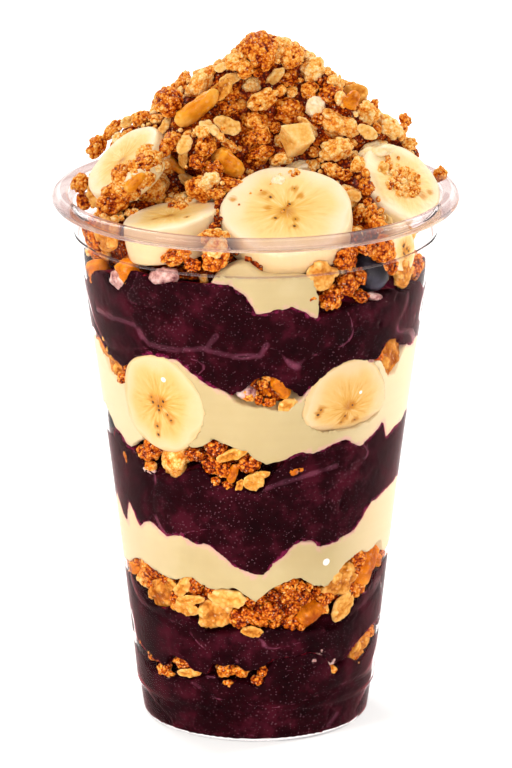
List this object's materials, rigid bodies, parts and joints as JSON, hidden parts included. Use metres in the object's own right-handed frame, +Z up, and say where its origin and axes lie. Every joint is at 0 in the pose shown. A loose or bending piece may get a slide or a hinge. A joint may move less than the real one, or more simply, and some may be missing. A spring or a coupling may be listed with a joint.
{
  "type": "acai bowl in a clear plastic cup",
  "caption": "Clear tapered plastic cup filled with bands of purple acai, cream and granola, with banana slices at the wall and a granola and banana heap above the rim.",
  "frame": {"origin": "middle of the underside of the cup's foot ring, on the surface that the cup stands on", "axes": "+Z up and out of the cup's mouth, -Y towards the side seen in the picture, +X to the right of it"},
  "size_m": [0.098, 0.098, 0.1705],
  "materials": {
    "clear_plastic": "clear moulded plastic, glossy",
    "acai": "frozen dark purple fruit pulp, smooth and moist with fine ice",
    "cream": "thick pale yellow cream, smooth and moist",
    "granola": "baked oat clusters with sugar grains",
    "banana_flesh": "cut fruit, moist, with a seeded middle",
    "blueberry_skin": "dark berry skin with a pale bloom"
  },
  "bodies": {
    "root": {"cup": "clear_plastic", "acai_1": "acai", "acai_2": "acai", "acai_3": "acai", "acai_4": "acai", "cream_1": "cream", "cream_2": "cream", "cream_top": "cream", "granola_1": "granola", "granola_2": "granola", "granola_3": "granola", "granola_4": "granola", "granola_heap": "granola", "banana_front": "banana_flesh", "banana_right": "banana_flesh", "banana_left_back": "banana_flesh", "banana_left_front": "banana_flesh", "banana_low_right": "banana_flesh", "banana_cream_left": "banana_flesh", "banana_cream_right": "banana_flesh", "blueberry": "blueberry_skin"}
  },
  "joints": []
}
